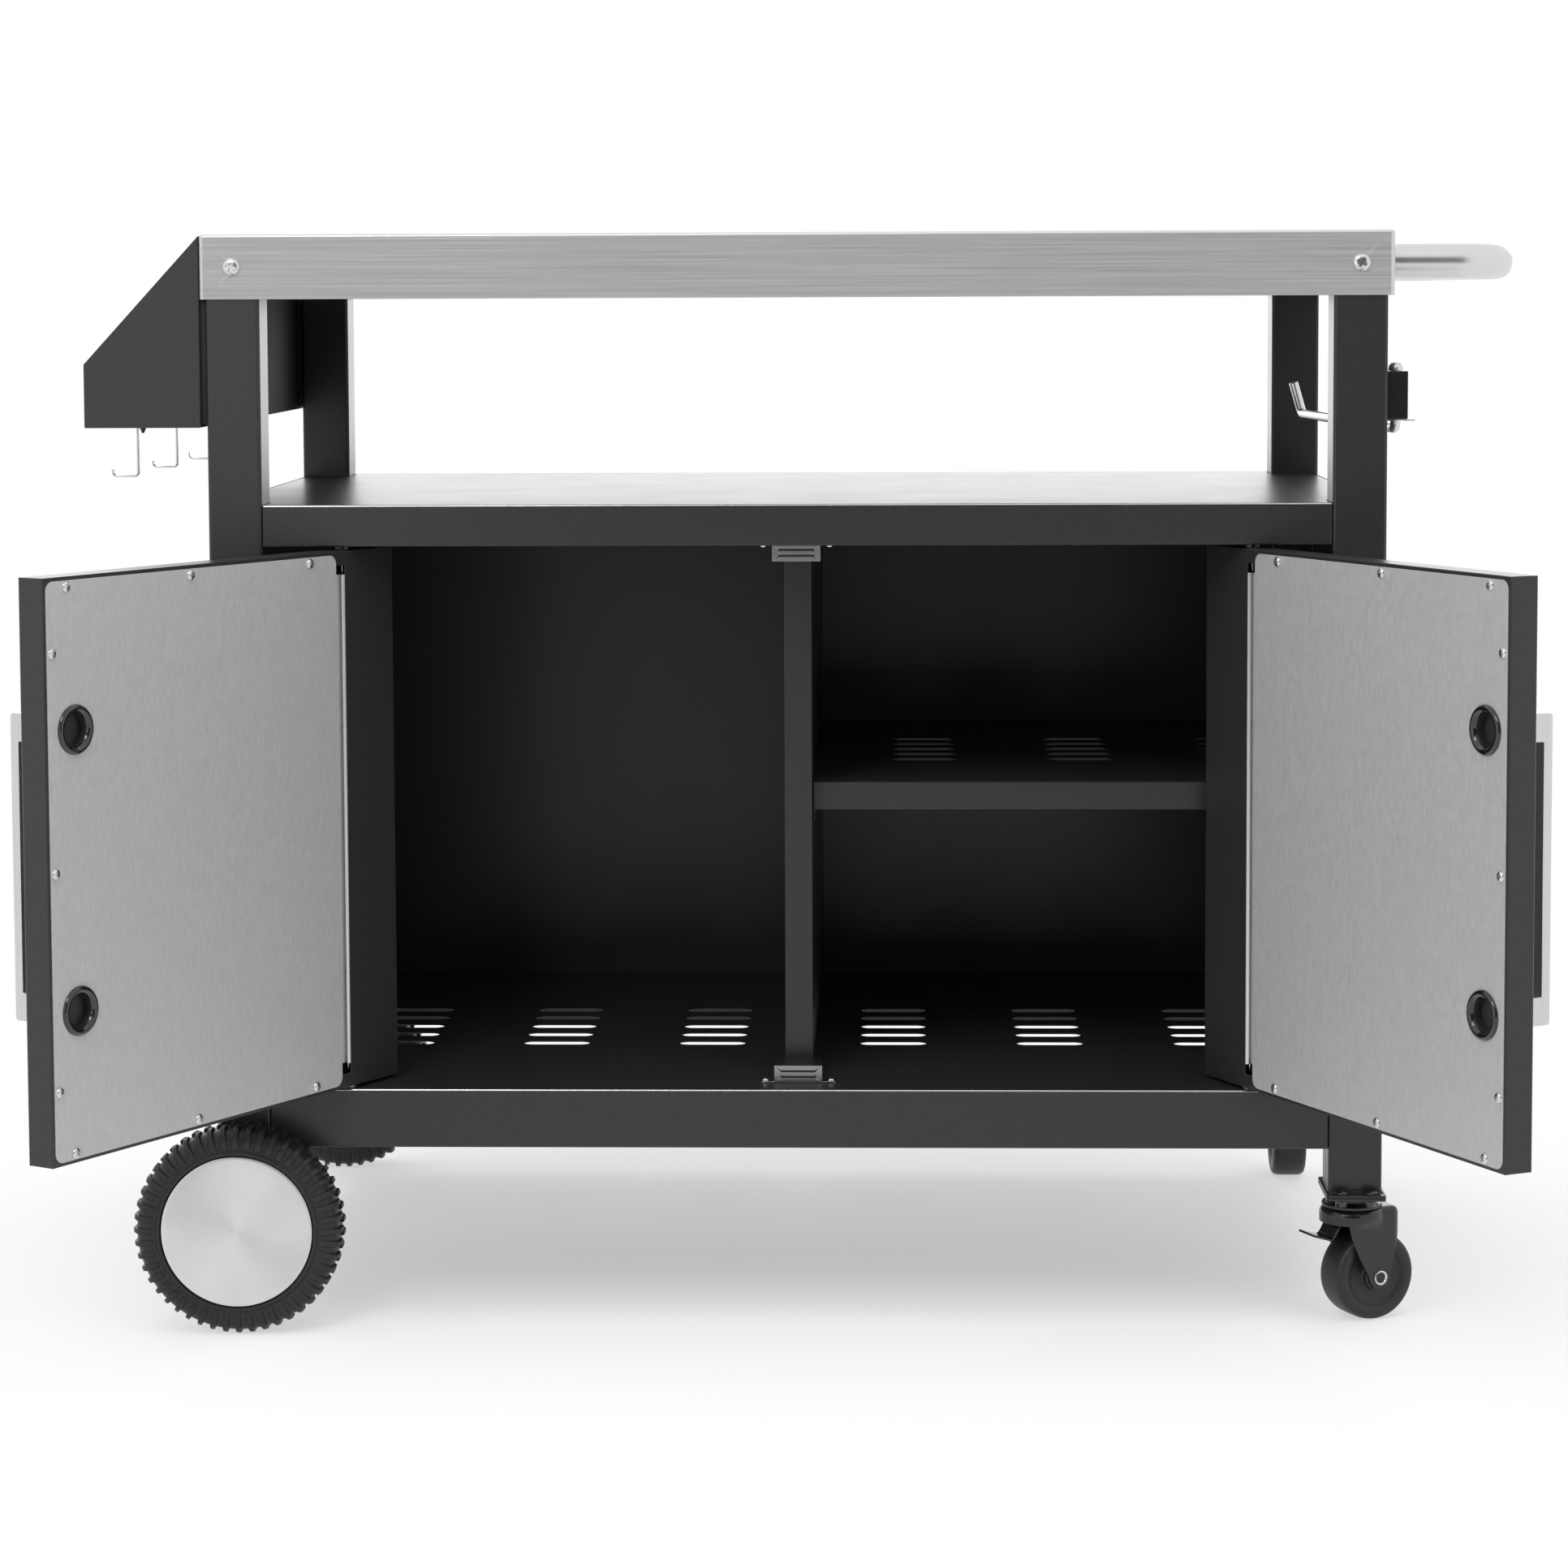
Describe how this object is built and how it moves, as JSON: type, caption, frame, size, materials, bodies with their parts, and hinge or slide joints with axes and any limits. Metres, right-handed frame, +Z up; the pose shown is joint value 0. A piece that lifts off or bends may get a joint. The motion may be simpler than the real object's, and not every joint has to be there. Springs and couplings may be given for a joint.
{
  "type": "grill cart",
  "caption": "Rolling grill cart: steel worktop with apron over an open shelf, hinged-door cabinet, spice rack with hooks, push handle, big wheels on one end and braked casters on the other.",
  "frame": {"origin": "on the floor, midway between the four legs", "axes": "+X to the right of somebody facing the doors, +Y to the back, +Z up"},
  "size_m": [1.2101, 0.9543, 0.921],
  "materials": {
    "powder_coat": "fine-textured satin black powder coat",
    "black_steel": "smooth black",
    "stainless": "brushed stainless",
    "polished_tube": "polished stainless tube",
    "zinc": "bright zinc plate",
    "wheel_cap": "satin silver",
    "tyre": "moulded lugs, matt",
    "black_plastic": "moulded black",
    "gloss_black": "glossy black"
  },
  "bodies": {
    "cart": {"front_left_leg": "powder_coat", "front_right_leg": "powder_coat", "back_left_leg": "powder_coat", "back_right_leg": "powder_coat", "upper_shelf": "powder_coat", "base_shelf": "powder_coat", "back_panel": "powder_coat", "left_side_panel": "powder_coat", "right_side_panel": "powder_coat", "divider": "powder_coat", "half_shelf": "powder_coat", "half_shelf_rails": "powder_coat", "worktop_stiffeners": "powder_coat", "spice_rack": "powder_coat", "arm_bracket": "powder_coat", "rack_bolts": "black_steel", "bracket_screws": "black_steel", "caster_bolts": "black_steel", "front_caster_plate": "black_steel", "back_caster_plate": "black_steel", "worktop": "stainless", "push_handle": "polished_tube", "handle_collars": "polished_tube", "worktop_screws": "zinc", "catch_screws": "zinc", "tool_hooks": "zinc", "axle": "zinc", "axle_washers": "zinc", "axle_nuts": "zinc", "pivot_washers": "zinc", "top_catch": "zinc", "bottom_catch": "zinc"},
    "left_door": {"left_door_shell": "powder_coat", "left_door_liner": "stainless", "left_door_handle": "stainless", "left_door_grommets": "gloss_black", "left_door_screws": "zinc", "left_door_pins": "zinc"},
    "right_door": {"right_door_shell": "powder_coat", "right_door_liner": "stainless", "right_door_handle": "stainless", "right_door_grommets": "gloss_black", "right_door_screws": "zinc", "right_door_pins": "zinc"},
    "front_wheel": {"front_tyre": "tyre", "front_rim": "black_plastic", "front_cap": "wheel_cap"},
    "back_wheel": {"back_tyre": "tyre", "back_rim": "black_plastic", "back_cap": "wheel_cap"},
    "front_swivel": {"front_caster_fork": "black_steel", "front_caster_axle": "zinc"},
    "back_swivel": {"back_caster_fork": "black_steel", "back_caster_axle": "zinc"},
    "front_roller": {"front_caster_wheel": "black_plastic"},
    "back_roller": {"back_caster_wheel": "black_plastic"},
    "front_brake": {"front_caster_brake": "black_steel"},
    "back_brake": {"back_caster_brake": "black_steel"},
    "arm": {"swing_arm": "zinc", "arm_clip": "zinc"}
  },
  "joints": [
    {"name": "left_door_hinge", "type": "hinge", "parent": "cart", "child": "left_door", "pos_m": [-0.382, -0.274, 0.43], "axis": [0, 0, 1], "range_deg": [-23.7, 120.3]},
    {"name": "right_door_hinge", "type": "hinge", "parent": "cart", "child": "right_door", "pos_m": [0.382, -0.274, 0.43], "axis": [0, 0, 1], "range_deg": [-117, 27]},
    {"name": "front_wheel_spin", "type": "hinge", "parent": "cart", "child": "front_wheel", "pos_m": [-0.4695, -0.314, 0.088], "axis": [0, 1, 0], "continuous": true},
    {"name": "back_wheel_spin", "type": "hinge", "parent": "cart", "child": "back_wheel", "pos_m": [-0.4695, 0.314, 0.088], "axis": [0, 1, 0], "continuous": true},
    {"name": "front_caster_swivel", "type": "hinge", "parent": "cart", "child": "front_swivel", "pos_m": [0.4695, -0.2655, 0.1], "axis": [0, 0, 1], "continuous": true},
    {"name": "front_caster_roll", "type": "hinge", "parent": "front_swivel", "child": "front_roller", "pos_m": [0.48298, -0.25892, 0.038], "axis": [-0.4384, 0.8988, 0], "continuous": true},
    {"name": "front_caster_brake_press", "type": "hinge", "parent": "front_swivel", "child": "front_brake", "pos_m": [0.45602, -0.27208, 0.0897], "axis": [0.4384, -0.8988, 0], "range_deg": [0, 22]},
    {"name": "back_caster_swivel", "type": "hinge", "parent": "cart", "child": "back_swivel", "pos_m": [0.4695, 0.2655, 0.1], "axis": [0, 0, 1], "continuous": true},
    {"name": "back_caster_roll", "type": "hinge", "parent": "back_swivel", "child": "back_roller", "pos_m": [0.4695, 0.2805, 0.038], "axis": [-1, 0, 0], "continuous": true},
    {"name": "back_caster_brake_press", "type": "hinge", "parent": "back_swivel", "child": "back_brake", "pos_m": [0.4695, 0.2505, 0.0897], "axis": [1, 0, 0], "range_deg": [0, 22]},
    {"name": "arm_swing", "type": "hinge", "parent": "cart", "child": "arm", "pos_m": [0.501, -0.266, 0.78], "axis": [0, 0, 1], "range_deg": [-100, 0]}
  ]
}
